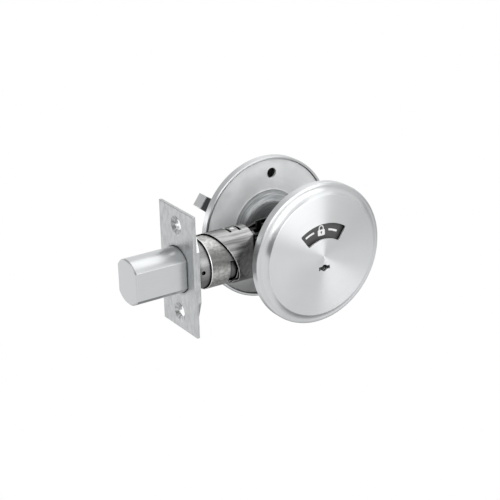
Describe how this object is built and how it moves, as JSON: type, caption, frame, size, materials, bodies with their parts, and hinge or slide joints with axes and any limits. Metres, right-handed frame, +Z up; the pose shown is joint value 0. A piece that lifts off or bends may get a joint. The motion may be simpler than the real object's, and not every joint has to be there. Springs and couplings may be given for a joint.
{
  "type": "toilet indicator bolt",
  "caption": "Tubular door bolt for a toilet: outside rose with a window over a turning dial and a release keyhole, inside rose with a thumb lever, and a crank that draws the bolt.",
  "frame": {"origin": "where the bolt's axis crosses the axis of the door's cross bore, at half the door's thickness", "axes": "the bolt points to -X, the outside rose faces -Y, the thumb lever is at +Y, and +Z is up"},
  "size_m": [0.1201, 0.0701, 0.0688],
  "materials": {
    "satin_trim": "satin",
    "bolt_steel": "satin",
    "tube_steel": "glossy",
    "sleeve_steel": "satin",
    "plain_steel": "plain",
    "dark_steel": "oiled",
    "brass": "turned",
    "dial": "matt"
  },
  "bodies": {
    "door_set": {"outside_rose": "satin_trim", "outside_backplate": "plain_steel", "fixing_posts": "plain_steel", "driver_bush": "brass", "driver_washer": "plain_steel", "inside_rose": "satin_trim", "inside_plate": "satin_trim", "turn_bush": "brass", "turn_washer": "plain_steel", "bolt_housing": "tube_steel", "crank_case_outer": "dark_steel", "crank_case_inner": "dark_steel", "case_spacers": "plain_steel"},
    "front_unit": {"faceplate": "satin_trim", "backing_plate": "plain_steel", "front_tube": "tube_steel", "adjusting_sleeve": "sleeve_steel"},
    "bolt_group": {"bolt": "bolt_steel", "bolt_rollers": "dark_steel", "tail_pin": "plain_steel"},
    "tail_group": {"bolt_tail": "plain_steel"},
    "turn_group": {"thumb_lever": "satin_trim", "lever_screw": "dark_steel", "turn_spindle": "plain_steel", "turn_clip": "dark_steel", "tailpiece": "plain_steel", "crank_hub": "dark_steel", "crank_pin": "plain_steel", "release_driver": "brass", "driver_clip": "dark_steel", "indicator_dial": "dial"}
  },
  "joints": [
    {"name": "thumb_turn", "type": "hinge", "parent": "door_set", "child": "turn_group", "pos_m": [0, 0, -0.0054], "axis": [0, 1, 0], "range_deg": [0, 90]},
    {"name": "tail_slide", "type": "slide", "parent": "door_set", "child": "tail_group", "axis": [1, 0, 0], "range_m": [0, 0.0254]},
    {"name": "backset_slide", "type": "slide", "parent": "door_set", "child": "front_unit", "axis": [-1, 0, 0], "range_m": [0, 0.0095]},
    {"name": "bolt_slide", "type": "slide", "parent": "front_unit", "child": "bolt_group", "axis": [1, 0, 0], "range_m": [0, 0.0254]}
  ],
  "couplings": [
    {"joint": "tail_slide", "follows": "thumb_turn", "m_per_rad": 0.01617},
    {"joint": "bolt_slide", "follows": "thumb_turn", "m_per_rad": 0.01617}
  ]
}
